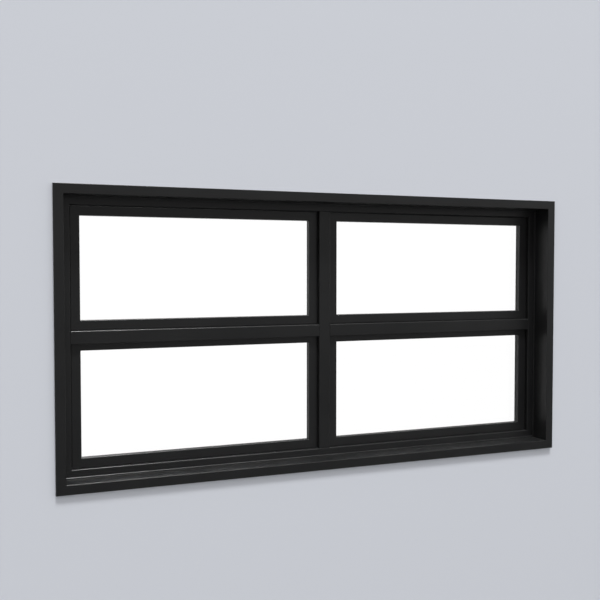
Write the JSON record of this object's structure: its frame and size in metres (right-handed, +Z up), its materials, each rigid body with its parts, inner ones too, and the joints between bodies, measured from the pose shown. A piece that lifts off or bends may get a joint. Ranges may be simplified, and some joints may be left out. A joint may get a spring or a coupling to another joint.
{
  "type": "awning window",
  "caption": "Fixed-grid awning window with top-hung sashes side by side and one above the other, in a deep black aluminium surround that laps the wall.",
  "frame": {"origin": "on the wall plane, which is the back face of the surround's lap flange, in the middle of the window's bottom edge", "axes": "+X along the width, to the right seen from outside; +Y into the wall, towards the room; +Z up"},
  "size_m": [1.8, 0.193, 0.923],
  "materials": {
    "black_coat": "semi-gloss black powder coat on aluminium",
    "clear_glass": "clear float glass",
    "black_rubber": "matt black extruded rubber",
    "black_hardware": "satin black die-cast metal",
    "stainless_steel": "plain stainless steel"
  },
  "bodies": {
    "root": {"surround_head": "black_coat", "surround_sill": "black_coat", "surround_left_jamb": "black_coat", "surround_right_jamb": "black_coat", "frame_head": "black_coat", "frame_sill": "black_coat", "frame_left_jamb": "black_coat", "frame_right_jamb": "black_coat", "mullion": "black_coat", "left_transom": "black_coat", "right_transom": "black_coat", "upper_left_top_rail": "black_coat", "upper_left_bottom_rail": "black_coat", "upper_left_left_stile": "black_coat", "upper_left_right_stile": "black_coat", "upper_right_top_rail": "black_coat", "upper_right_bottom_rail": "black_coat", "upper_right_left_stile": "black_coat", "upper_right_right_stile": "black_coat", "lower_left_top_rail": "black_coat", "lower_left_bottom_rail": "black_coat", "lower_left_left_stile": "black_coat", "lower_left_right_stile": "black_coat", "lower_right_top_rail": "black_coat", "lower_right_bottom_rail": "black_coat", "lower_right_left_stile": "black_coat", "lower_right_right_stile": "black_coat", "upper_left_glass": "clear_glass", "upper_right_glass": "clear_glass", "lower_left_glass": "clear_glass", "lower_right_glass": "clear_glass", "upper_left_bead": "black_coat", "upper_right_bead": "black_coat", "lower_left_bead": "black_coat", "lower_right_bead": "black_coat", "upper_left_gaskets": "black_rubber", "upper_right_gaskets": "black_rubber", "lower_left_gaskets": "black_rubber", "lower_right_gaskets": "black_rubber", "upper_left_winder": "black_hardware", "upper_right_winder": "black_hardware", "lower_left_winder": "black_hardware", "lower_right_winder": "black_hardware", "friction_stays": "stainless_steel"}
  },
  "joints": []
}
